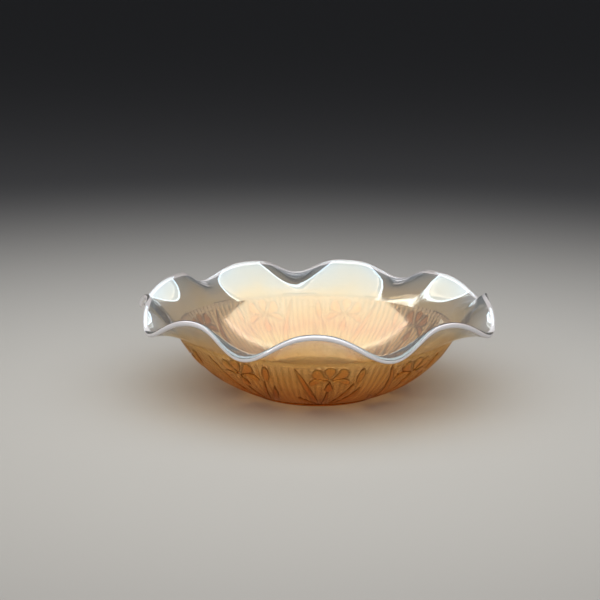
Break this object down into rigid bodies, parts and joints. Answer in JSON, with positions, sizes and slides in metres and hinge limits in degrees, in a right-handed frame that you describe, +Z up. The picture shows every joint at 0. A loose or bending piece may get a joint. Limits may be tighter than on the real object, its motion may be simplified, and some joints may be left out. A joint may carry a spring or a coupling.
{
  "type": "ruffled glass bowl",
  "caption": "Wide pressed-glass fruit bowl with a ruffled flared collar, a low foot ring and an iris and herringbone relief round the outside, in iridescent amber.",
  "frame": {"origin": "on the table under the middle of the bowl, in the plane that the foot ring stands on", "axes": "+Z up out of the bowl's mouth; -Y towards the front, where one crest of the ruffle stands; +X to the right seen from the front"},
  "size_m": [0.2904, 0.2907, 0.081],
  "materials": {
    "base_glass": "pressed soda-lime glass under a sprayed amber lustre",
    "wall_glass": "pressed soda-lime glass under a sprayed amber lustre",
    "relief_glass": "raised pressed pattern, fire-polished, amber lustre",
    "collar_glass": "plain fire-polished glass, thin smoky gold lustre",
    "rim_glass": "melted round edge, pearly lustre"
  },
  "bodies": {
    "root": {"base_disc": "base_glass", "base_star": "base_glass", "foot_ring": "base_glass", "patterned_wall": "wall_glass", "herringbone_ribs": "relief_glass", "iris_petals": "relief_glass", "iris_falls": "relief_glass", "iris_buds": "relief_glass", "iris_stems": "relief_glass", "sword_leaves": "relief_glass", "flared_collar": "collar_glass", "rim_bead": "rim_glass"}
  },
  "joints": []
}
